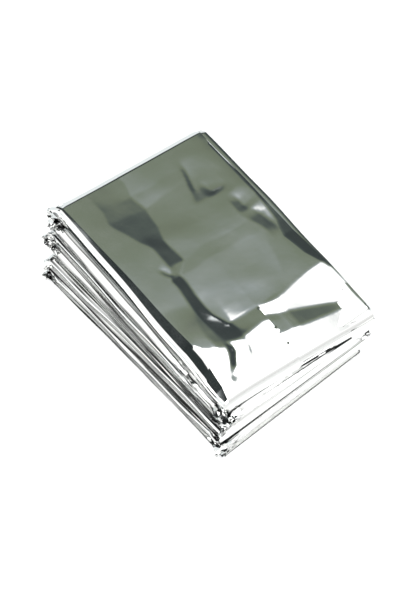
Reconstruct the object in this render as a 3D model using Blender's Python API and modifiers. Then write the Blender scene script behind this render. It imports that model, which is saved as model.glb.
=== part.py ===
"""An emergency foil blanket, folded as it comes: one sheet of metallised polyester film.

The sheet is folded lengthwise into a strip of three layers, and the strip is then laid back and
forth in eight legs, one on the other. A flat grid stands for the sheet: its columns are stations
across the sheet and its rows are stations along the strip. Each point is moved to its folded
place, and Solidify gives the film its thickness.

+Y runs along the strip with the free ends at -Y, +Z is up, and the pack rests on Z = 0 with the
origin in the middle of its footprint.
"""

import math
from collections import namedtuple

import bmesh
import bpy

MM = 0.001

# Driving dimensions, in millimetres. The real film is 0.012 mm thick: each layer here stands for
# the many that lie pressed together in the pack.
FILM = 1.0
LEG_GAP = 1.0
FOLD_DEPTH = 0.9  # how far a crosswise fold reaches out, for each millimetre of its radius
THIN = 4.1  # a leg pressed flat
PUFFED = 7.6  # the top leg, which nothing presses

# One row for each leg of the strip, the top one first: its thickness, and the corners (x, y) of
# its uppermost layer where its crosswise folds or its free end begin. Two legs that a fold joins
# end on one line. The lower legs have slewed out to the left at their far ends, and their near
# ends run back to the right.
Leg = namedtuple("Leg", "thick near_left near_right far_left far_right")
LEGS = (
    Leg(PUFFED, (-40.0, -65.0), (42.0, -64.5), (-40.0, 65.0), (41.5, 65.0)),
    Leg(THIN, (-42.0, -64.6), (42.5, -60.0), (-43.5, 65.0), (40.0, 65.0)),
    Leg(THIN, (-41.5, -64.6), (43.0, -60.0), (-45.0, 64.6), (39.0, 66.5)),
    Leg(THIN, (-41.5, -64.3), (43.0, -57.0), (-47.0, 64.6), (37.5, 66.5)),
    Leg(THIN, (-41.5, -64.3), (43.0, -57.0), (-50.5, 59.5), (34.5, 64.0)),
    Leg(THIN, (-42.0, -63.8), (42.5, -55.5), (-51.0, 59.5), (34.0, 64.0)),
    Leg(THIN, (-42.0, -63.8), (42.0, -55.5), (-50.5, 60.5), (35.0, 65.0)),
    Leg(THIN, (-41.5, -66.3), (42.0, -57.5), (-49.5, 60.5), (35.5, 65.0)),
)

# The strip is three layers: the sheet runs across at level 0, back at level 1 and across at 2.
LAYERS = 3
TOP_LEVEL = LAYERS - 1
ACROSS = (-1.0, -0.86, -0.45, 0.02, 0.45, 0.86, 1.0)  # stations across a layer, left to right
ALONG = (0.0, 0.07, 0.22, 0.41, 0.6, 0.79, 0.93, 1.0)  # stations along a leg, near to far
EDGE_STEPS = 4  # facets round a lengthwise fold
END_STEPS = 5  # facets round a crosswise fold

FREE_EDGE_SHIFT = 2.0  # how far to the left of the folds the sheet's free long edges lie
EAR = 2.6  # how far the left corner of a crosswise fold pokes out
EDGE_BAND = 14.0  # the strip's long edges wander and poke out within this distance of them
RUFFLE = 0.9  # how far they wander in their own plane, in a long wave and a short one
LONG_WAVE = 107.0
SHORT_WAVE = 46.0
SHORT_SHARE = 0.35
LEG_PHASE = 2.1  # what sets one leg's waves apart from the next one's
FREE_EDGE_PHASE = 1.3
SHORT_PHASE = 2.3
CREASE_DEPTH = 0.5  # the lengthwise crease in the top layer
CREASE_WIDTH = 9.0
DENT_DEPTH = 0.7  # soft dents, in rows that run a little askew
DENT_WIDTH = 120.0
DENT_LENGTH = 94.0
DENT_SKEW = 0.37
DENT_PHASE = 0.8
SHARP_ANGLE = 50.0


def lerp(a, b, t):
    return a + (b - a) * t


def between(one, other, t):
    return [lerp(a, b, t) for a, b in zip(one, other)]


def leg_floors():
    """The height of each leg's underside, the top leg's first."""
    floors = []
    height = 0.0
    for leg in reversed(LEGS):
        floors.insert(0, height)
        height += leg.thick + LEG_GAP
    return floors


FLOORS = leg_floors()
PACK_HEIGHT = FLOORS[0] + LEGS[0].thick
STRIP_WIDTH = LEGS[0].near_right[0] - LEGS[0].near_left[0]


def stations_across():
    """(level, place from -1 at the left edge to 1 at the right, reach of the fold there)."""
    stations = []
    for layer in range(LAYERS):
        rightwards = layer % 2 == 0
        side = 1.0 if rightwards else -1.0
        places = ACROSS if rightwards else ACROSS[::-1]
        stations += [(layer, place, 0.0) for place in places]
        if layer < TOP_LEVEL:
            for step in range(1, EDGE_STEPS):
                angle = math.pi * step / EDGE_STEPS
                rise = (1.0 - math.cos(angle)) / 2.0
                stations.append((layer + rise, side, side * math.sin(angle)))
    return stations


def stations_along():
    """(leg, place from 0 at its near end to 1 at its far end, angle round the fold after it)."""
    stations = []
    for leg in range(len(LEGS)):
        farwards = leg % 2 == 0
        places = ALONG if farwards else ALONG[::-1]
        stations += [(leg, place, 0.0) for place in places]
        if leg < len(LEGS) - 1:
            end = 1.0 if farwards else 0.0
            for step in range(1, END_STEPS):
                stations.append((leg, end, math.pi * step / END_STEPS))
    return stations


def rank_in_leg(leg, level):
    """0 at the leg's lowest layer and 1 at its highest: every other leg is upside down."""
    share = level / TOP_LEVEL
    return share if leg % 2 == 0 else 1.0 - share


def on_leg(leg, across, place_along):
    """A point of the strip on one leg: x, y, z."""
    level, place_across, fold_reach = across
    row = LEGS[leg]
    share = (place_across + 1.0) / 2.0
    near_x, near_y = between(row.near_left, row.near_right, share)
    far_x, far_y = between(row.far_left, row.far_right, share)
    room = row.thick - FILM
    y = lerp(near_y, far_y, place_along)
    x = lerp(near_x, far_x, place_along) + fold_reach * room / TOP_LEVEL / 2.0
    x += edge_share(place_across) * edge_wander(leg, level, place_across, y)
    return x, y, FLOORS[leg] + FILM / 2.0 + rank_in_leg(leg, level) * room


def on_strip(across, along):
    """A point of the strip on a leg, or on the crosswise fold between it and the next."""
    leg, place_along, angle = along
    x, y, z = on_leg(leg, across, place_along)
    if angle:
        under_x, under_y, under_z = on_leg(leg + 1, across, place_along)
        share = angle / math.pi
        middle = FLOORS[leg] - LEG_GAP / 2.0
        upper_radius = z - middle
        lower_radius = middle - under_z
        outwards = 1.0 if place_along else -1.0
        reach = FOLD_DEPTH * (upper_radius + lower_radius) / 2.0 * math.sin(angle)
        ear = EAR * math.sin(angle) * edge_share(across[1]) if across[1] < 0.0 else 0.0
        x = lerp(x, under_x, share) - ear
        y = lerp(y, under_y, share) + outwards * reach
        z = middle + (upper_radius if angle < math.pi / 2.0 else lower_radius) * math.cos(angle)
    return x, y, z


def edge_share(place_across):
    """1 at the strip's long edges, falling to 0 within EDGE_BAND of them."""
    inset = (1.0 - abs(place_across)) * STRIP_WIDTH / 2.0
    return max(0.0, 1.0 - inset / EDGE_BAND)


def edge_wander(leg, level, place_across, y):
    """The edges wander in their own plane, each fold and each free edge of each leg in its own way."""
    on_free_side = level < 1.0 if place_across < 0.0 else level > 1.0
    own_way = LEG_PHASE * leg + (FREE_EDGE_PHASE if on_free_side else 0.0)
    long_wave = math.sin(math.tau * y / LONG_WAVE + own_way)
    short_wave = math.sin(math.tau * y / SHORT_WAVE + SHORT_PHASE * own_way)
    wave = lerp(long_wave, short_wave, SHORT_SHARE)
    return RUFFLE * wave - (FREE_EDGE_SHIFT if on_free_side else 0.0)


def dented(x, y, z):
    """Soft dents and one lengthwise crease, deepest at the top and gone at the bottom."""
    crease = CREASE_DEPTH * math.exp(-((x / CREASE_WIDTH) ** 2))
    along = math.cos(math.tau * (y + DENT_SKEW * x) / DENT_LENGTH)
    dent = DENT_DEPTH * math.sin(math.tau * x / DENT_WIDTH + DENT_PHASE) * along
    return z - (crease + dent) * (z / PACK_HEIGHT) ** 3


def folded(across, along):
    x, y, z = on_strip(across, along)
    z = dented(x, y, z)
    return x * MM, y * MM, z * MM


def folded_sheet():
    """A flat grid, one vertex for each pair of stations, moved point by point to its fold."""
    across = stations_across()
    along = stations_along()
    sheet = bmesh.new()
    bmesh.ops.create_grid(sheet, x_segments=len(across) - 1, y_segments=len(along) - 1, size=0.5)
    for vert in sheet.verts:
        column = round((vert.co.x + 0.5) * (len(across) - 1))
        row = round((vert.co.y + 0.5) * (len(along) - 1))
        vert.co = folded(across[column], along[row])
    centre_on_footprint(sheet)
    bmesh.ops.recalc_face_normals(sheet, faces=sheet.faces)
    mesh = bpy.data.meshes.new("blanket")
    sheet.to_mesh(mesh)
    sheet.free()
    return mesh


def centre_on_footprint(sheet):
    for axis in (0, 1):
        places = [vert.co[axis] for vert in sheet.verts]
        middle = (min(places) + max(places)) / 2.0
        for vert in sheet.verts:
            vert.co[axis] -= middle


def metallised_film():
    material = bpy.data.materials.new("metallised polyester film")
    material.use_nodes = True
    shader = material.node_tree.nodes["Principled BSDF"]
    shader.inputs["Base Color"].default_value = (0.78, 0.79, 0.78, 1.0)
    shader.inputs["Metallic"].default_value = 1.0
    shader.inputs["Roughness"].default_value = 0.12
    return material


def main():
    for thing in list(bpy.data.objects):
        bpy.data.objects.remove(thing, do_unlink=True)
    pack = bpy.data.collections.new("emergency foil blanket")
    bpy.context.scene.collection.children.link(pack)

    mesh = folded_sheet()
    mesh.materials.append(metallised_film())
    blanket = bpy.data.objects.new("blanket", mesh)
    pack.objects.link(blanket)

    thickness = blanket.modifiers.new("film thickness", "SOLIDIFY")
    thickness.thickness = FILM * MM
    thickness.offset = 0.0
    thickness.use_even_offset = True
    mesh.shade_smooth()
    mesh.set_sharp_from_angle(angle=math.radians(SHARP_ANGLE))


main()
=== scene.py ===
"""An emergency foil blanket, folded as it comes: one sheet of metallised polyester film.

The sheet is folded as in the part's source: lengthwise into a strip of three layers, and the
strip back and forth in eight legs, one on the other. Here the film is thinner, the stations lie
closer, and the film has its creases, dents and crumpled corners.

Metres in the calls, millimetres in the named sizes. +Y runs along the strip with the free ends
at -Y, +Z is up, and the pack rests on Z = 0.
"""

import math
from collections import namedtuple

import bmesh
import bpy
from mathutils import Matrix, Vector, noise
from mathutils.bvhtree import BVHTree


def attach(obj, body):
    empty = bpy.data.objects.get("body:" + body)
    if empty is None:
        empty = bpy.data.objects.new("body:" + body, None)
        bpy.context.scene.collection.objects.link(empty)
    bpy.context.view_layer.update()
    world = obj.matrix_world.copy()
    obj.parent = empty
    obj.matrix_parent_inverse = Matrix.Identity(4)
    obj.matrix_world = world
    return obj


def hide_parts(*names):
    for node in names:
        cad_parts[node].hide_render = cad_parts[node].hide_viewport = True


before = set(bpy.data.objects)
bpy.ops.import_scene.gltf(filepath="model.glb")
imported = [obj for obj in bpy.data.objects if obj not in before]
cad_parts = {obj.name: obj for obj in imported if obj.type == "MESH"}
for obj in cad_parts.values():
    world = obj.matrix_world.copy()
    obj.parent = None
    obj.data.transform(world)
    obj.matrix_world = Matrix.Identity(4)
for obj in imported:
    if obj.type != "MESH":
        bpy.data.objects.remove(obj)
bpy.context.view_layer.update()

MM = 0.001

# The pack, in the sizes of the part's source.
LEG_GAP = 1.0
THIN = 4.1  # a leg pressed flat
PUFFED = 7.6  # the top leg, which nothing presses

# One row for each leg of the strip, the top one first: its thickness, and the corners (x, y) of
# its uppermost layer where its crosswise folds or its free end begin.
Leg = namedtuple("Leg", "thick near_left near_right far_left far_right")
LEGS = (
    Leg(PUFFED, (-40.0, -65.0), (42.0, -64.5), (-40.0, 65.0), (41.5, 65.0)),
    Leg(THIN, (-42.0, -64.6), (42.5, -60.0), (-43.5, 65.0), (40.0, 65.0)),
    Leg(THIN, (-41.5, -64.6), (43.0, -60.0), (-45.0, 64.6), (39.0, 66.5)),
    Leg(THIN, (-41.5, -64.3), (43.0, -57.0), (-47.0, 64.6), (37.5, 66.5)),
    Leg(THIN, (-41.5, -64.3), (43.0, -57.0), (-50.5, 59.5), (34.5, 64.0)),
    Leg(THIN, (-42.0, -63.8), (42.5, -55.5), (-51.0, 59.5), (34.0, 64.0)),
    Leg(THIN, (-42.0, -63.8), (42.0, -55.5), (-50.5, 60.5), (35.0, 65.0)),
    Leg(THIN, (-41.5, -66.3), (42.0, -57.5), (-49.5, 60.5), (35.5, 65.0)),
)
LAYERS = 3
TOP_LEVEL = LAYERS - 1
FOLD_DEPTH = 0.9  # how far a crosswise fold reaches out, for each millimetre of its radius
EAR = 2.6  # how far the left corner of a crosswise fold pokes out
FREE_EDGE_SHIFT = 2.0  # how far to the left of the folds the sheet's free long edges lie
TOP_EDGE_SHIFT = ((-42.0, -1.0), (-6.0, 2.0))  # and the uppermost film's, at places along the pack
EDGE_BAND = 14.0  # the strip's long edges wander and poke out within this distance of them
RUFFLE = 0.45  # how far they wander in their own plane, in a long wave and a short one
LONG_WAVE = 107.0
SHORT_WAVE = 46.0
SHORT_SHARE = 0.35
LEG_PHASE = 2.1  # what sets one leg's waves apart from the next one's
FREE_EDGE_PHASE = 1.3
SHORT_PHASE = 2.3

# What is finer here than in the solid.
FILM = 0.3  # still 25 times the real film, whose many layers each of these stands for
TOP_STEP = 4.0  # between stations of the uppermost film, before each stretch is cut again
TOP_CUTS = 4
TOP_LONG = 2.4  # a stretch longer than this is cut
TOP_INSETS = (0.0, 0.5, 1.0, 1.6, 2.3, 3.1, 4.0, 5.1, 6.4, 8.0)  # its stations near its sides
EDGE_INSETS = (0.0, 0.8, 1.8, 3.2, 5.5, 10.0)  # stations of a hidden layer
END_INSETS = (0.0, 0.8, 1.7, 2.8, 4.2, 6.0, 8.5, 11.5, 15.0, 19.0)  # stations of a lower leg
LEG_STEP = 5.2  # between stations of a lower leg further in
EDGE_STEPS = 10  # facets round a lengthwise fold

# The stations round a crosswise fold, in degrees, closer where it has its groove.
END_ANGLES = (15.0, 31.0, 45.0, 49.0, 55.0, 59.0, 73.0, 90.0, 108.0, 126.0, 144.0, 162.0)

# The painted shade in the creases across the folds at the near end: the leg before the fold, from
# where to where round it they run in degrees, and how dark that painted shade is at the left and at
# the right.
Seam = namedtuple("Seam", "leg start end left right")
CREASE_SHADES = (
    Seam(1, 10.0, 20.0, 1.0, 0.3),
    Seam(1, 47.0, 57.0, 0.6, 0.1),
    Seam(3, 28.0, 47.0, 0.3, 0.1),
    Seam(3, 120.0, 128.0, 0.6, 0.3),
    Seam(5, 28.0, 47.0, 1.0, 0.7),
)
GROOVE_ANGLE = 52.0  # where all of these folds have a sharp groove
GROOVE_HALF = 3.5
GROOVE_DEPTH = 0.35

# The creases beside the lengthwise folds are painted dark, as shade, in patches.
CREASE_SHADE_LEAST = 0.45  # how dark that painted shade is between the patches
CREASE_SHADE_PATCHES = 5.0  # how often the painted shade comes and goes along a leg
CREASE_SHADE_FADE = 0.6
CREASE_SHADE_PHASE = 3.7  # what sets one leg's patches apart from the next one's

CREASED = math.radians(16.0)  # how sharply a crosswise fold starts
BLUNT = 0.7  # how square its nose is: 1 is round
SLANT = 0.28  # how the middle layer slants from the free layer on one side to that on the other
SIDE_BLUNT = 0.6  # how square a lengthwise fold is, as BLUNT
TUCK = 0.15  # how far the film is tucked back in the middle of a lengthwise fold
TUCK_SHARP = 6  # how narrow that tuck is: 1 is as wide as the fold
FREE_END_PINCH = 0.6  # how far the layers close up at a free end
FREE_END_REACH = 5.0
LIP_DROP = 5.4  # how far the uppermost film hangs down over them, at the pack's near end
LIP_REACH = 2.3
LIP_BEND = (0.9, 1.7)  # where the bend over which it hangs is creased, from its edge
LIP_CREASE_SHADE = 0.3  # and how dark the painted shade in that crease is
OPEN_REACH = 3.5  # film closer than this above a point shuts it off
OPEN_RAYS = 12
OPEN_LIFT = 0.02  # the rays that feel for it start this far from the point
GOLDEN_ANGLE = math.pi * (3.0 - math.sqrt(5.0))  # spreads them evenly
SHARP = math.radians(27.0)  # film bent by more than this is creased

# The uppermost film's long sides are pressed down as narrow slopes before they turn under: their
# widths at places along the pack.
LEFT_SHOULDER = (
    (-64.0, 1.2),
    (-56.0, 3.4),
    (-40.0, 4.4),
    (-25.0, 4.0),
    (-5.0, 3.3),
    (25.0, 2.2),
    (64.0, 0.9),
)
LEFT_SLOPE = math.radians(34.5)
RIGHT_SHOULDER = (
    (-34.0, 0.0),
    (-20.0, 5.0),
    (-7.0, 6.5),
    (3.0, 3.2),
    (18.0, 1.6),
    (46.0, 1.0),
    (64.0, 0.5),
)
RIGHT_SLOPE = math.radians(6.6)
SHOULDER_INSET = 3.1  # the station that lies on a slope's inner bend
SHOULDER_LEAST = 0.5  # how far in that station lies where there is no slope
LEFT_SAG = 0.25  # how steeply the lower films sag toward the left side, at the top of the pack
LEFT_SAG_REACH = 11.0
LEFT_SAG_SOFT = 1.0
LEFT_SAG_SHARE = 0.7  # the power with which the sag fades downwards, from film to film

# The lengthwise crease: its place across, and how the film to the right of it is tilted.
CREASE_PLACE = -0.0095
CREASE_GAP = 0.3  # between the stations on either side of it
CREASE_TILT = 0.012
CREASE_START = 10.0  # the film is tilted more and more from here toward the near end
CREASE_REACH = 40.0
LEFT_TILT = 0.011  # the film to the left of it goes down to it, more and more toward the near end
LEFT_TILT_START = -32.0
LEFT_TILT_REACH = 22.0

# Bends that run across the film, as points (x, y) from left to right in the finished pack's frame:
# past each, toward the near end, the film goes down more steeply by a slope.
Bend = namedtuple("Bend", "line slope soft")
SLOW_BEND = Bend(((0.0, 20.0),), 0.01, 10.0)
LEFT_BENDS = (
    SLOW_BEND,
    Bend(
        (
            (-36.0, -34.0),
            (-30.0, -34.8),
            (-28.9, -38.0),
            (-26.4, -40.3),
            (-23.7, -41.2),
            (-18.0, -43.8),
            (-14.5, -43.4),
            (-9.0, -42.4),
            (-4.0, -41.8),
            (2.4, -41.3),
            (6.0, -42.0),
        ),
        0.115,
        0.3,
    ),
)
RIGHT_BENDS = (
    SLOW_BEND,
    Bend(
        (
            (6.0, -33.2),
            (9.0, -34.0),
            (13.0, -35.0),
            (16.0, -35.3),
            (20.0, -34.5),
            (27.0, -33.0),
            (36.0, -31.2),
            (44.0, -30.4),
        ),
        0.155,
        0.3,
    ),
    Bend(((6.0, -38.2), (11.0, -40.8), (16.0, -42.8), (27.0, -46.6), (39.0, -51.0)), -0.13, 0.3),
    Bend(((6.0, -51.4), (39.0, -55.0)), 0.2, 0.2),
)

# Dents, in the same frame: the deepest point, the turn of the long axis clockwise from +Y,
# how far the dent reaches along it to the far and the near end and out to either side, its depth,
# and how soon it gets deep: 1 goes evenly from its ends to its middle. A ridge has a depth below 0.
Dent = namedtuple("Dent", "x y turn far near left right depth soon")
DENTS = (
    Dent(-17.6, -47.0, 18.0, 6.0, 8.0, 3.4, 7.0, 0.78, 1.4),
    Dent(-20.4, -52.5, 34.0, 5.0, 10.0, 3.0, 6.0, 0.62, 1.2),
    Dent(-24.0, -46.5, 8.0, 34.0, 9.0, 40.0, 15.0, -1.1, 1.2),
    Dent(-15.8, 6.0, -26.0, 6.0, 6.5, 1.3, 3.0, 0.13, 1.3),
    Dent(22.8, 40.0, 16.0, 19.0, 10.0, 2.7, 20.0, 0.34, 1.1),
    Dent(28.5, 33.0, -12.0, 9.0, 4.0, 3.0, 9.0, 0.17, 1.1),
    Dent(35.5, 18.0, -12.0, 9.0, 6.0, 4.5, 9.0, 0.3, 1.2),
    Dent(39.5, 5.0, -14.0, 12.0, 12.0, 5.5, 7.0, 0.42, 1.2),
)
# The valley down the left half of the top, from its near end: where the foot of its left wall is,
# how wide that wall and the slow climb on its right are, and how deep it is.
Foot = namedtuple("Foot", "y x left right depth")
VALLEY = (
    Foot(-43.5, -5.0, 14.0, 18.0, 0.0),
    Foot(-33.0, -9.0, 9.5, 30.0, 1.02),
    Foot(-26.0, -12.4, 6.6, 38.0, 0.98),
    Foot(-13.0, -12.5, 5.2, 44.0, 0.9),
    Foot(0.6, -12.1, 4.2, 46.0, 0.82),
    Foot(8.0, -5.7, 7.0, 46.0, 0.8),
    Foot(20.0, -5.6, 8.5, 46.0, 0.84),
    Foot(30.0, -3.8, 13.0, 46.0, 0.92),
    Foot(42.0, -2.8, 18.0, 44.0, 1.0),
    Foot(51.0, -3.4, 17.0, 44.0, 0.85),
    Foot(74.0, -3.0, 16.0, 40.0, 0.0),
)
WANDER = 2.2  # how far the dents' outlines wander, by noise
WANDER_SIZE = 13.0
WANDER_APART = 7.0  # how far apart the noise for the two directions is read
TOP_SHARE = 8  # the power with which dents fade downwards, from film to film
ROLL = 0.12  # the slack film's own low rolling, by noise
ROLL_SIZE = 24.0

# Where the folds are crumpled: the middle, how far it reaches, and how many millimetres the film
# is moved there.
Crumple = namedtuple("Crumple", "x y z reach_x reach_y reach_z amount")
CRUMPLES = (
    Crumple(-38.0, 70.0, 36.0, 13.0, 14.0, 10.0, 3.6),
    Crumple(-46.0, 68.0, 22.0, 13.0, 14.0, 9.0, 3.6),
    Crumple(-48.0, 65.0, 7.0, 13.0, 14.0, 9.0, 3.6),
    Crumple(-38.0, -68.0, 30.0, 14.0, 15.0, 11.0, 3.6),
    Crumple(-38.0, -68.0, 8.0, 14.0, 15.0, 10.0, 3.2),
    Crumple(-37.5, -40.0, 30.0, 5.0, 16.0, 7.0, 1.6),
    Crumple(48.0, -62.5, 22.0, 8.0, 8.0, 11.0, 3.6),
    Crumple(47.0, 69.0, 40.0, 7.0, 6.0, 6.0, 2.0),
)
CRUMPLE_SIZE = 4.4
CRUMPLE_ROUNDS = 3  # of finer and finer noise
CRUMPLE_SEED = 2  # which way the crumpled film goes
CRUMPLE_RISE = 0.55  # the share of the move that goes up and down
CRUMPLE_FULL = 2.4  # film moved this far is covered in facets and their painted shade


def lerp(a, b, t):
    return a + (b - a) * t


def between(one, other, t):
    return [lerp(a, b, t) for a, b in zip(one, other)]


def fade(distance, reach):
    """1 at no distance, falling smoothly to 0 at the reach."""
    share = min(max(1.0 - distance / reach, 0.0), 1.0)
    return share * share * (3.0 - 2.0 * share)


def leg_floors():
    """The height of each leg's underside, the top leg's first."""
    floors = []
    height = 0.0
    for leg in reversed(LEGS):
        floors.insert(0, height)
        height += leg.thick + LEG_GAP
    return floors


FLOORS = leg_floors()
PACK_HEIGHT = FLOORS[0] + LEGS[0].thick
STRIP_WIDTH = LEGS[0].near_right[0] - LEGS[0].near_left[0]
STRIP_LENGTH = LEGS[0].far_left[1] - LEGS[0].near_left[1]


def hinge(distance, soft):
    """0 below no distance and the distance above it, with a soft bend between."""
    return (distance + math.hypot(distance, soft)) / 2.0


def table_at(table, place):
    """What a table of (place, number) pairs gives at a place, evenly between its rows."""
    low = high = table[0]
    for row in table[1:]:
        if place > high[0]:
            low, high = high, row
    if low is high or place <= low[0]:
        return low[1]
    return lerp(low[1], high[1], min((place - low[0]) / (high[0] - low[0]), 1.0))


def evenly(start, end, step):
    """Places between two others, about a step apart."""
    count = max(round((end - start) / step), 1)
    return [lerp(start, end, i / count) for i in range(1, count)]


def inset_places(insets, span, step=None, crease=None):
    """Places from -1 to 1: at these insets from both ends, at the crease, and evenly between."""
    start = [2.0 * inset / span - 1.0 for inset in insets]
    end = [-place for place in reversed(start)]
    if not step:
        return start + end
    step *= 2.0 / span
    if crease is None:
        return start + evenly(start[-1], end[0], step) + end
    gap = CREASE_GAP / span
    left = evenly(start[-1], crease - gap, step) + [crease - gap]
    right = [crease + gap] + evenly(crease + gap, end[0], step)
    return start + left + right + end


def stations_across():
    """(level, place from -1 at the left edge to 1 at the right, reach of the fold there)."""
    fine = inset_places(TOP_INSETS, STRIP_WIDTH, TOP_STEP, CREASE_PLACE)
    coarse = inset_places(EDGE_INSETS, STRIP_WIDTH)
    stations = []
    for layer in range(LAYERS):
        rightwards = layer % 2 == 0
        side = 1.0 if rightwards else -1.0
        places = fine if layer == TOP_LEVEL else coarse
        stations += [(layer, side * place, 0.0) for place in places]
        if layer < TOP_LEVEL:
            for step in range(1, EDGE_STEPS):
                angle = math.pi * step / EDGE_STEPS
                rise = (1.0 - math.cos(angle)) / 2.0
                bulge = math.sin(angle)
                reach = bulge**SIDE_BLUNT - TUCK * bulge**TUCK_SHARP
                stations.append((layer + rise, side, side * reach))
    return stations


def stations_along():
    """(leg, place from 0 at its near end to 1 at its far end, angle round the fold after it)."""
    fine = inset_places(TOP_INSETS, STRIP_LENGTH, TOP_STEP)
    coarse = inset_places(END_INSETS, STRIP_LENGTH, LEG_STEP)
    stations = []
    for leg in range(len(LEGS)):
        farwards = leg % 2 == 0
        places = coarse if leg else fine
        side = 1.0 if farwards else -1.0
        stations += [(leg, (side * place + 1.0) / 2.0, 0.0) for place in places]
        if leg < len(LEGS) - 1:
            end = 1.0 if farwards else 0.0
            stations += [(leg, end, math.radians(angle)) for angle in END_ANGLES]
    return stations


def rank_in_leg(leg, level, place_across):
    """0 at the leg's lowest layer and 1 at its highest: every other leg is upside down."""
    middle_share = 0.5 + SLANT * place_across
    if level < 1.0:
        share = middle_share * level
    else:
        share = lerp(middle_share, 1.0, level - 1.0)
    return share if leg % 2 == 0 else 1.0 - share


def edge_share(place_across):
    """1 at the strip's long edges, falling to 0 within EDGE_BAND of them."""
    inset = (1.0 - abs(place_across)) * STRIP_WIDTH / 2.0
    return max(0.0, 1.0 - inset / EDGE_BAND)


def edge_wander(leg, level, place_across, y):
    """The edges wander in their own plane, each fold and each free edge of each leg in its own way."""
    on_free_side = level < 1.0 if place_across < 0.0 else level > 1.0
    own_way = LEG_PHASE * leg + (FREE_EDGE_PHASE if on_free_side else 0.0)
    long_wave = math.sin(math.tau * y / LONG_WAVE + own_way)
    short_wave = math.sin(math.tau * y / SHORT_WAVE + SHORT_PHASE * own_way)
    wave = lerp(long_wave, short_wave, SHORT_SHARE)
    uppermost = leg == 0 and level > 1.0
    shift = table_at(TOP_EDGE_SHIFT, y) if uppermost else FREE_EDGE_SHIFT
    return RUFFLE * wave - (shift if on_free_side else 0.0)


def on_leg(leg, across, place_along):
    """A point of the strip on one leg: x, y, z."""
    level, place_across, fold_reach = across
    row = LEGS[leg]
    share = (place_across + 1.0) / 2.0
    near_x, near_y = between(row.near_left, row.near_right, share)
    far_x, far_y = between(row.far_left, row.far_right, share)
    room = row.thick - FILM
    from_end = place_along * STRIP_LENGTH
    upper = max(level - 1.0, 0.0) if leg == 0 else 0.0
    if leg in (0, len(LEGS) - 1):
        room *= 1.0 - FREE_END_PINCH * (1.0 - upper) * fade(from_end, FREE_END_REACH)
    y = lerp(near_y, far_y, place_along)
    x = lerp(near_x, far_x, place_along) + fold_reach * room / TOP_LEVEL / 2.0
    x += edge_share(place_across) * edge_wander(leg, level, place_across, y)
    z = FLOORS[leg] + FILM / 2.0 + rank_in_leg(leg, level, place_across) * room
    inset = (1.0 + place_across) * STRIP_WIDTH / 2.0
    sag = LEFT_SAG * hinge(LEFT_SAG_REACH - inset, LEFT_SAG_SOFT)
    sag *= (z / PACK_HEIGHT) ** LEFT_SAG_SHARE
    if upper:
        shoulder_x, drop = shoulder(place_across, y)
        x += upper * shoulder_x
        lip_share = (1.0 - min(from_end / LIP_REACH, 1.0)) ** 2
        sag = lerp(sag, drop, upper) + upper * LIP_DROP * lip_share
    return x, y, z - sag


def shoulder(place_across, y):
    """How the slopes at the uppermost film's sides move a point: in x, and down."""
    side = math.copysign(1.0, place_across)
    table, slope = (RIGHT_SHOULDER, RIGHT_SLOPE) if side > 0.0 else (LEFT_SHOULDER, LEFT_SLOPE)
    width = table_at(table, y)
    inset = (1.0 - abs(place_across)) * STRIP_WIDTH / 2.0
    bend = max(width, SHOULDER_LEAST)
    moved = table_at(((0.0, 0.0), (SHOULDER_INSET, bend), (TOP_INSETS[-1], TOP_INSETS[-1])), inset)
    if inset > TOP_INSETS[-1]:
        moved = inset
    return side * (inset - moved), math.tan(slope) * max(width - moved, 0.0)


def on_strip(across, along):
    """A point of the strip on a leg, or on the crosswise fold between it and the next."""
    leg, place_along, angle = along
    leg = round(leg)
    x, y, z = on_leg(leg, across, place_along)
    if angle:
        under_x, under_y, under_z = on_leg(leg + 1, across, place_along)
        share = angle / math.pi
        turn = lerp(CREASED, math.pi - CREASED, share)
        start = math.sin(CREASED) ** BLUNT
        middle = FLOORS[leg] - LEG_GAP / 2.0
        upper_radius = z - middle
        lower_radius = middle - under_z
        outwards = 1.0 if place_along else -1.0
        bulge = (math.sin(turn) ** BLUNT - start) / (1.0 - start)
        reach = FOLD_DEPTH * (upper_radius + lower_radius) / 2.0 * bulge
        if abs(math.degrees(angle) - GROOVE_ANGLE) < GROOVE_HALF:
            reach -= GROOVE_DEPTH
        ear = EAR * math.sin(angle) * edge_share(across[1]) if across[1] < 0.0 else 0.0
        x = lerp(x, under_x, share) - ear
        y = lerp(y, under_y, share) + outwards * reach
        radius = upper_radius if angle < math.pi / 2.0 else lower_radius
        height = abs(math.cos(turn) / math.cos(CREASED)) ** BLUNT
        z = middle + radius * math.copysign(height, math.cos(turn))
    return x, y, z


def plain_height(level, along):
    """How high a layer lies, before its sides and its free end go down."""
    leg, place_along, angle = along
    if angle:
        return on_strip((level, 0.0, 0.0), along)[2]
    leg = round(leg)
    room = LEGS[leg].thick - FILM
    return FLOORS[leg] + FILM / 2.0 + rank_in_leg(leg, level, 0.0) * room


def wandered(x, y):
    """A place moved a little, so that an outline drawn straight comes out uneven."""
    spot = Vector((x, y, 0.0)) / WANDER_SIZE
    other = spot + Vector((0.0, 0.0, WANDER_APART))
    return x + WANDER * noise.noise(spot), y + WANDER * noise.noise(other)


def dent_drop(dent, x, y):
    """How far one dent lowers the film here: evenly from its rim to its long axis."""
    turn = math.radians(dent.turn)
    along = (x - dent.x) * math.sin(turn) + (y - dent.y) * math.cos(turn)
    across = (x - dent.x) * math.cos(turn) - (y - dent.y) * math.sin(turn)
    along_share = dent.soon * (1.0 - abs(along) / (dent.far if along > 0.0 else dent.near))
    across_share = 1.0 - abs(across) / (dent.right if across > 0.0 else dent.left)
    if min(along_share, across_share) <= 0.0:
        return 0.0
    return dent.depth * (1.0 - fade(along_share, 1.0)) * across_share


def valley_drop(x, y):
    """How far the valley lowers the film here."""
    columns = [[(row.y, number) for row, number in zip(VALLEY, column)] for column in zip(*VALLEY)]
    _, foot, left, right, depth = [table_at(column, y) for column in columns]
    away = x - foot
    return depth * max(1.0 - abs(away) / (right if away > 0.0 else left), 0.0)


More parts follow.
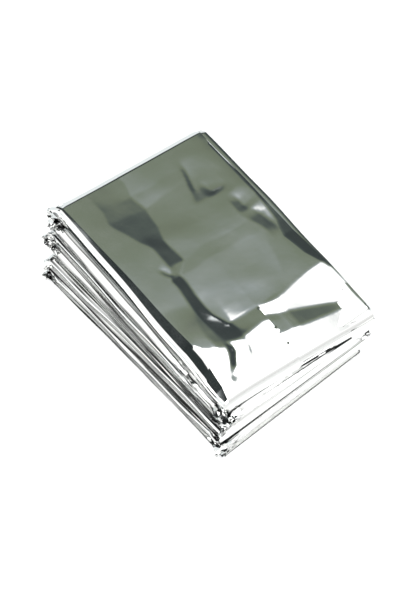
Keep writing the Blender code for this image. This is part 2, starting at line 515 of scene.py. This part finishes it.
def bend_drop(bends, x, y):
    """How far the film has gone down past the bends that run across it."""
    return sum(bend.slope * hinge(table_at(bend.line, x) - y, bend.soft) for bend in bends)


def film_drop(x, y, z, place_across):
    """How far bends, dents and the film's own rolling lower it, fading from film to film."""
    right = (place_across - CREASE_PLACE) * STRIP_WIDTH / 2.0
    drop = bend_drop(LEFT_BENDS if right < 0.0 else RIGHT_BENDS, x, y)
    near_share = min(max((CREASE_START - y) / CREASE_REACH, 0.0), 1.0)
    drop += CREASE_TILT * near_share * max(right, 0.0)
    left_share = min(max((LEFT_TILT_START - y) / LEFT_TILT_REACH, 0.0), 1.0)
    drop += LEFT_TILT * left_share * max(STRIP_WIDTH / 2.0 + min(right, 0.0), 0.0) * (right < 0.0)
    uneven = wandered(x, y)
    drop += sum(dent_drop(dent, *uneven) for dent in DENTS) + valley_drop(*uneven)
    drop += ROLL * noise.noise(Vector((x, y, 0.0)) / ROLL_SIZE)
    return drop * max(z / PACK_HEIGHT, 0.0) ** TOP_SHARE


def crumple_share(x, y, z):
    """How far the film is crumpled here, in millimetres: nothing on its flats."""
    share = 0.0
    for spot in CRUMPLES:
        reach = (spot.reach_x, spot.reach_y, spot.reach_z)
        away = [part / most for part, most in zip((x - spot.x, y - spot.y, z - spot.z), reach)]
        share = max(share, spot.amount * fade(Vector(away).length, 1.0))
    return share


def crumpled(x, y, z):
    """The move of a crumpled point."""
    amount = crumple_share(x, y, z)
    if not amount:
        return Vector()
    move = noise.turbulence_vector(Vector((x, y, z)) / CRUMPLE_SIZE, CRUMPLE_ROUNDS, False)
    move *= amount
    return Vector((move.x, move.y, move.z * CRUMPLE_RISE))


def station_at(stations, place):
    """The station at a place in the row of them, or between two."""
    low = min(int(place), len(stations) - 2)
    return between(stations[low], stations[low + 1], place - low)


def top_cuts(sheet, across, along):
    """The long edges of the uppermost film, which are cut again."""
    edges = []
    for edge in sheet.edges:
        one, other = (vert.co for vert in edge.verts)
        level, place_across, _ = station_at(across, (one.x + other.x) / 2.0)
        leg, _, angle = station_at(along, (one.y + other.y) / 2.0)
        if level != TOP_LEVEL or leg or angle:
            continue
        span_across = station_at(across, one.x)[1] - station_at(across, other.x)[1]
        span_along = station_at(along, one.y)[1] - station_at(along, other.y)[1]
        if math.hypot(span_across * STRIP_WIDTH / 2.0, span_along * STRIP_LENGTH) > TOP_LONG:
            edges.append(edge)
    return edges


def crease_shade_share(across, along):
    """How dark the painted shade at a point is: 1 deep in a crease beside a fold, and 0 on open film.
    """
    level, place_across, _ = across
    leg, place_along, angle = along
    if angle:
        place = (place_across + 1.0) / 2.0
        degrees = math.degrees(angle)
        here = [crease_shade for crease_shade in CREASE_SHADES if crease_shade.leg == leg and crease_shade.start < degrees < crease_shade.end]
        return max((lerp(crease_shade.left, crease_shade.right, place) for crease_shade in here), default=0.0)
    if leg == 0 and level > TOP_LEVEL - 0.5:
        return LIP_CREASE_SHADE if LIP_BEND[0] < place_along * STRIP_LENGTH < LIP_BEND[1] else 0.0
    rise = level % 1.0
    past_first_facet = (1.0 - math.cos(1.5 * math.pi / EDGE_STEPS)) / 2.0
    in_crease = abs(place_across) == 1.0 and min(rise, 1.0 - rise) < past_first_facet
    if not in_crease or (leg == 0 and place_across > 0.0):
        return 0.0
    patch = abs(noise.noise(Vector((leg * CREASE_SHADE_PHASE, level, place_along * CREASE_SHADE_PATCHES))))
    return lerp(CREASE_SHADE_LEAST, 1.0, fade(patch, CREASE_SHADE_FADE))


def film_sheet():
    """A flat grid, one vertex for each pair of stations, moved point by point to its fold."""
    noise.seed_set(CRUMPLE_SEED)
    across = stations_across()
    along = stations_along()
    sheet = bmesh.new()
    bmesh.ops.create_grid(sheet, x_segments=len(across) - 1, y_segments=len(along) - 1, size=0.5)
    for vert in sheet.verts:
        vert.co.x = round((vert.co.x + 0.5) * (len(across) - 1))
        vert.co.y = round((vert.co.y + 0.5) * (len(along) - 1))
    cut = top_cuts(sheet, across, along)
    bmesh.ops.subdivide_edges(sheet, edges=cut, cuts=TOP_CUTS, use_grid_fill=True)
    crumple = sheet.verts.layers.float.new("crumple")
    crease_shade = sheet.verts.layers.float.new("crease_shade")
    place = sheet.verts.layers.float.new("place")
    height = sheet.verts.layers.float.new("height")
    for vert in sheet.verts:
        station = station_at(across, round(vert.co.x, 3))
        row = station_at(along, round(vert.co.y, 3))
        vert[place] = station[1]
        vert[height] = plain_height(station[0], row)
        vert[crease_shade] = crease_shade_share(station, row)
        vert.co = Vector(on_strip(station, row)) * MM
    centre_on_footprint(sheet)
    for vert in sheet.verts:
        x, y, z = vert.co / MM
        vert[crumple] = crumple_share(x, y, z) / CRUMPLE_FULL
        vert.co.z -= film_drop(x, y, vert[height], vert[place]) * MM
        vert.co += crumpled(x, y, z) * MM
        vert.co.z = max(vert.co.z, FILM * MM / 2.0)
    sheet.verts.layers.float.remove(height)
    sheet.verts.layers.float.remove(place)
    bmesh.ops.recalc_face_normals(sheet, faces=sheet.faces)
    mesh = bpy.data.meshes.new("foil film")
    sheet.to_mesh(mesh)
    sheet.free()
    return mesh


def add_openness(mesh):
    """How open the space before each point is: no light gets in deep between the folds."""
    tree = BVHTree.FromPolygons([v.co for v in mesh.vertices], [p.vertices for p in mesh.polygons])
    rays = []
    for i in range(OPEN_RAYS):
        height = (i + 0.5) / OPEN_RAYS
        level = math.sqrt(1.0 - height * height)
        turn = i * GOLDEN_ANGLE
        rays.append(Vector((level * math.cos(turn), level * math.sin(turn), height)))
    openness = mesh.attributes.new("open", "FLOAT", "POINT")
    for vert in mesh.vertices:
        face = vert.normal.to_track_quat("Z", "Y")
        start = vert.co + vert.normal * OPEN_LIFT * MM
        free = [tree.ray_cast(start, face @ ray, OPEN_REACH * MM)[0] is None for ray in rays]
        openness.data[vert.index].value = sum(free) / OPEN_RAYS


def centre_on_footprint(sheet):
    for axis in (0, 1):
        places = [vert.co[axis] for vert in sheet.verts]
        middle = (min(places) + max(places)) / 2.0
        for vert in sheet.verts:
            vert.co[axis] -= middle


def linear(hex_colour):
    """A linear RGBA colour from an sRGB hex one."""
    shares = [int(hex_colour[i : i + 2], 16) / 255.0 for i in (1, 3, 5)]
    curved = [s / 12.92 if s <= 0.04045 else ((s + 0.055) / 1.055) ** 2.4 for s in shares]
    return (*curved, 1.0)


def add_node(tree, kind, settings=None, links=None):
    """A new node: its settings by attribute or by input, and what is linked to its inputs."""
    node = tree.nodes.new(kind)
    for name, value in (settings or {}).items():
        if isinstance(name, int) or name in node.inputs:
            node.inputs[name].default_value = value
        else:
            setattr(node, name, value)
    for name, socket in (links or {}).items():
        tree.links.new(socket, node.inputs[name])
    return node


# The film's surface. Between the folds the metal is painted dark, as painted shade, where less than a
# share of the space before it is open, and in the creases listed above. Crumpled film has small
# facets, stretched across the pack, and some of them are painted dark as shade in its crevices.
OPEN_DARK = 0.26
OPEN_LIT = 0.36
# painted shade: the colour the film is given where the folds shut the light off
PAINTED_SHADE_COLOUR = "#1B1D1D"
BRIGHT_METAL = "#E4E5E3"
FACET_SIZE = 1.9
FACET_STRETCH = (1.0, 0.6, 1.5)
FACET_TILT = 1.2  # how far the facets lean, each its own way
FACET_DARK = 0.37  # facets whose random grey is below this are painted dark as crevice shade
FACET_LIT = 0.42
RUB_SIZE = 18.0  # of the areas where handling has dulled the film a little
RUB_CONTRAST = (0.3, 0.7)
ROUGHNESS = (0.05, 0.11)  # from bright film to rubbed film
RIPPLE_SIZE = 7.0
RIPPLE_DEPTH = 0.02  # too low to see but for what the mirror shows


def per_metre(size):
    """A texture's scale for a pattern of this size in millimetres."""
    return 1.0 / (size * MM)


def metallised_film():
    """Metallised polyester film: vapour-coated aluminium, which gives a sharp, silvery mirror."""
    material = bpy.data.materials.new("metallised polyester film")
    material.use_nodes = True
    tree = material.node_tree
    shader = tree.nodes["Principled BSDF"]
    shader.inputs["Metallic"].default_value = 1.0
    place = add_node(tree, "ShaderNodeTexCoord").outputs["Object"]
    openness, crumple, crease_shade = [
        add_node(tree, "ShaderNodeAttribute", {"attribute_name": name}).outputs["Fac"]
        for name in ("open", "crumple", "crease_shade")
    ]
    stretched = add_node(
        tree,
        "ShaderNodeVectorMath",
        {"operation": "MULTIPLY", 1: FACET_STRETCH},
        {0: place},
    )
    facets = add_node(
        tree,
        "ShaderNodeTexVoronoi",
        {"Scale": per_metre(FACET_SIZE)},
        {"Vector": stretched.outputs["Vector"]},
    )
    # Painted shade: the film is painted dark where little of the space before it is open.
    lit = add_node(
        tree,
        "ShaderNodeMapRange",
        {"From Min": OPEN_DARK, "From Max": OPEN_LIT},
        {"Value": openness},
    )
    # Painted shade: the creases are painted dark on top of that.
    clear = add_node(
        tree,
        "ShaderNodeMath",
        {"operation": "SUBTRACT", "use_clamp": True},
        {0: lit.outputs["Result"], 1: crease_shade},
    )
    # Painted shade: crumpled film is painted dark on the facets picked above, for its shaded crevices.
    crevice_shade = add_node(
        tree,
        "ShaderNodeMapRange",
        {"From Min": FACET_LIT, "From Max": FACET_DARK},
        {"Value": facets.outputs["Color"], "To Max": crumple},
    )
    bright = add_node(
        tree,
        "ShaderNodeMath",
        {"operation": "SUBTRACT", "use_clamp": True},
        {0: clear.outputs["Value"], 1: crevice_shade.outputs["Result"]},
    )
    # The film's silver, mixed with the painted shade as dark film.
    silver_and_painted_shade = add_node(
        tree,
        "ShaderNodeMix",
        {"data_type": "RGBA", 6: linear(PAINTED_SHADE_COLOUR), 7: linear(BRIGHT_METAL)},
        {0: bright.outputs["Value"]},
    )
    tree.links.new(silver_and_painted_shade.outputs[2], shader.inputs["Base Color"])

    rubbed = add_node(
        tree,
        "ShaderNodeTexNoise",
        {"Scale": per_metre(RUB_SIZE), "Detail": 4.0},
        {"Vector": place},
    )
    roughness = add_node(
        tree,
        "ShaderNodeMapRange",
        {
            "From Min": RUB_CONTRAST[0],
            "From Max": RUB_CONTRAST[1],
            "To Min": ROUGHNESS[0],
            "To Max": ROUGHNESS[1],
        },
        {"Value": rubbed.outputs["Fac"]},
    )
    tree.links.new(roughness.outputs["Result"], shader.inputs["Roughness"])

    ripple = add_node(
        tree,
        "ShaderNodeTexNoise",
        {"Scale": per_metre(RIPPLE_SIZE), "Detail": 2.0},
        {"Vector": place},
    )
    rippled = add_node(
        tree,
        "ShaderNodeBump",
        {"Strength": 1.0, "Distance": RIPPLE_DEPTH * MM},
        {"Height": ripple.outputs["Fac"]},
    )
    lean = add_node(
        tree,
        "ShaderNodeVectorMath",
        {"operation": "SUBTRACT", 1: (0.5, 0.5, 0.5)},
        {0: facets.outputs["Color"]},
    )
    tilt = add_node(tree, "ShaderNodeMath", {"operation": "MULTIPLY", 1: FACET_TILT}, {0: crumple})
    leaning = add_node(
        tree,
        "ShaderNodeVectorMath",
        {"operation": "SCALE"},
        {0: lean.outputs["Vector"], "Scale": tilt.outputs["Value"]},
    )
    faceted = add_node(
        tree,
        "ShaderNodeVectorMath",
        {"operation": "ADD"},
        {0: rippled.outputs["Normal"], 1: leaning.outputs["Vector"]},
    )
    normal = add_node(
        tree,
        "ShaderNodeVectorMath",
        {"operation": "NORMALIZE"},
        {0: faceted.outputs["Vector"]},
    )
    tree.links.new(normal.outputs["Vector"], shader.inputs["Normal"])
    return material


# The studio is what the film mirrors: its colours by their height above the horizon in degrees,
# first behind the pack and then to its far left. All else is white.
ZENITH = 90.0
SKY = (
    (0.0, "#DFE4E6"),
    (33.0, "#DFE4E6"),
    (35.5, "#343A3B"),
    (44.0, "#3A4040"),
    (47.0, "#4A524F"),
    (49.2, "#586059"),
    (50.6, "#6A7262"),
    (53.5, "#717A6C"),
    (55.5, "#7F8781"),
    (57.5, "#8A9292"),
    (58.4, "#99A1A4"),
    (59.1, "#FFFFFF"),
    (ZENITH, "#FFFFFF"),
)
SIDE_SKY = (
    (0.0, "#DFE4E6"),
    (33.0, "#DFE4E6"),
    (34.5, "#272C2D"),
    (44.0, "#313737"),
    (46.5, "#414846"),
    (48.0, "#FFFFFF"),
    (ZENITH, "#FFFFFF"),
)
SKY_STRENGTH = 1.4
SIDE_AZIMUTH = -50.0
# How far a direction leans to the back or to the far left where the colours there begin and where
# they are all that shows: 1 is straight toward it.
BACK_FROM = -0.15
BACK_FULL = 0.0
SIDE_FROM = 0.12
SIDE_FULL = 0.22
SIDE_BAND_FROM = 0.3
SIDE_BAND_FULL = 0.45

CAMERA_TARGET = (6.88, 11.35, -3.4)
CAMERA_AZIMUTH = -35.9
CAMERA_ELEVATION = 54.1
CAMERA_DISTANCE = 1045.0
CAMERA_LENS = 132.0
CAMERA_SENSOR = 36.0
FLOOR_SIDE = 4000.0
Lamp = namedtuple("Lamp", "name place size watts")
LAMPS = (
    Lamp("overhead lamp", (0.0, 0.0, 1500.0), 1500.0, 9.0),
    Lamp("front left lamp", (-650.0, -450.0, 900.0), 700.0, 6.0),
)


def toward_camera():
    """The direction from the pack to the camera."""
    azimuth = math.radians(CAMERA_AZIMUTH)
    elevation = math.radians(CAMERA_ELEVATION)
    level = math.cos(elevation)
    return Vector((math.sin(azimuth) * level, -math.cos(azimuth) * level, math.sin(elevation)))


def add_camera():
    data = bpy.data.cameras.new("camera")
    data.lens = CAMERA_LENS
    data.sensor_width = CAMERA_SENSOR
    camera = bpy.data.objects.new("camera", data)
    bpy.context.scene.collection.objects.link(camera)
    back = toward_camera()
    camera.location = (Vector(CAMERA_TARGET) + back * CAMERA_DISTANCE) * MM
    camera.rotation_euler = (-back).to_track_quat("-Z", "Y").to_euler()
    bpy.context.scene.camera = camera


def height_colours(tree, height, table):
    """Colours by height above the horizon, where 1 is overhead."""
    ramp = add_node(tree, "ShaderNodeValToRGB", links={"Fac": height})
    stops = ramp.color_ramp.elements
    for place, colour in table[1:-1]:
        stops.new(place / ZENITH).color = linear(colour)
    stops[0].color = linear(table[0][1])
    stops[-1].color = linear(table[-1][1])
    return ramp.outputs["Color"]


def share_toward(tree, direction, side, start, end):
    """0 where a direction leans less than the start to a side, and 1 where more than the end."""
    lean = add_node(tree, "ShaderNodeVectorMath", {"operation": "DOT_PRODUCT", 1: side}, {0: direction})
    share = add_node(
        tree,
        "ShaderNodeMapRange",
        {"interpolation_type": "SMOOTHSTEP", "From Min": start, "From Max": end},
        {"Value": lean.outputs["Value"]},
    )
    return share.outputs["Result"]


def add_studio():
    """A soft white room with a dim band behind the pack, which the film mirrors as grey."""
    world = bpy.data.worlds.new("studio")
    bpy.context.scene.world = world
    world.use_nodes = True
    tree = world.node_tree
    tree.nodes.clear()
    direction = add_node(tree, "ShaderNodeTexCoord").outputs["Generated"]
    parts = add_node(tree, "ShaderNodeSeparateXYZ", links={"Vector": direction})
    angle = add_node(tree, "ShaderNodeMath", {"operation": "ARCSINE"}, {0: parts.outputs["Z"]})
    share = add_node(
        tree,
        "ShaderNodeMath",
        {"operation": "DIVIDE", 1: math.pi / 2.0},
        {0: angle.outputs["Value"]},
    )
    back = toward_camera()
    side = math.radians(SIDE_AZIMUTH)
    sideways = (math.sin(side), math.cos(side), 0.0)
    to_side = share_toward(tree, direction, sideways, SIDE_FROM, SIDE_FULL)
    to_back = share_toward(tree, direction, (-back.x, -back.y, 0.0), BACK_FROM, BACK_FULL)
    sky = height_colours(tree, share.outputs["Value"], SKY)
    side_sky = height_colours(tree, share.outputs["Value"], SIDE_SKY)
    bands = add_node(tree, "ShaderNodeMix", {"data_type": "RGBA"}, {0: to_side, 6: sky, 7: side_sky})
    far_side = share_toward(tree, direction, sideways, SIDE_BAND_FROM, SIDE_BAND_FULL)
    banded = add_node(tree, "ShaderNodeMath", {"operation": "MAXIMUM"}, {0: to_back, 1: far_side})
    room = add_node(
        tree,
        "ShaderNodeMix",
        {"data_type": "RGBA", 6: linear("#FFFFFF")},
        {0: banded.outputs["Value"], 7: bands.outputs[2]},
    )
    light = add_node(
        tree,
        "ShaderNodeBackground",
        {"Strength": SKY_STRENGTH},
        {"Color": room.outputs[2]},
    )
    add_node(tree, "ShaderNodeOutputWorld", links={"Surface": light.outputs["Background"]})
    bpy.context.scene.view_settings.view_transform = "Standard"


def add_lamps():
    """Wide soft lamps: one overhead and one to the front left, all turned to the pack."""
    for row in LAMPS:
        data = bpy.data.lights.new(row.name, "AREA")
        data.shape = "DISK"
        data.size = row.size * MM
        data.energy = row.watts
        lamp = bpy.data.objects.new(row.name, data)
        bpy.context.scene.collection.objects.link(lamp)
        lamp.location = Vector(row.place) * MM
        lamp.rotation_euler = lamp.location.to_track_quat("Z", "Y").to_euler()


def add_floor():
    """A floor of rolled matt white paint: an even, pale ground with soft shadows and no gloss."""
    material = bpy.data.materials.new("matt white paint")
    material.use_nodes = True
    shader = material.node_tree.nodes["Principled BSDF"]
    shader.inputs["Base Color"].default_value = linear("#FAFAFA")
    shader.inputs["Roughness"].default_value = 0.9
    mesh = bpy.data.meshes.new("floor")
    plane = bmesh.new()
    bmesh.ops.create_grid(plane, x_segments=1, y_segments=1, size=FLOOR_SIDE * MM / 2.0)
    plane.to_mesh(mesh)
    plane.free()
    mesh.materials.append(material)
    floor = bpy.data.objects.new("floor", mesh)
    bpy.context.scene.collection.objects.link(floor)


def add_blanket():
    mesh = film_sheet()
    mesh.materials.append(metallised_film())
    blanket = bpy.data.objects.new("foil_film", mesh)
    bpy.context.scene.collection.objects.link(blanket)
    thickness = blanket.modifiers.new("film thickness", "SOLIDIFY")
    thickness.thickness = FILM * MM
    thickness.offset = 0.0
    now = bpy.context.evaluated_depsgraph_get()
    blanket.data = bpy.data.meshes.new_from_object(blanket.evaluated_get(now))
    blanket.modifiers.clear()
    blanket.data.shade_smooth()
    blanket.data.set_sharp_from_angle(angle=SHARP)
    add_openness(blanket.data)
    return blanket


add_camera()
add_studio()
add_lamps()
add_floor()
blanket = add_blanket()
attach(blanket, "root")
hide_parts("blanket")
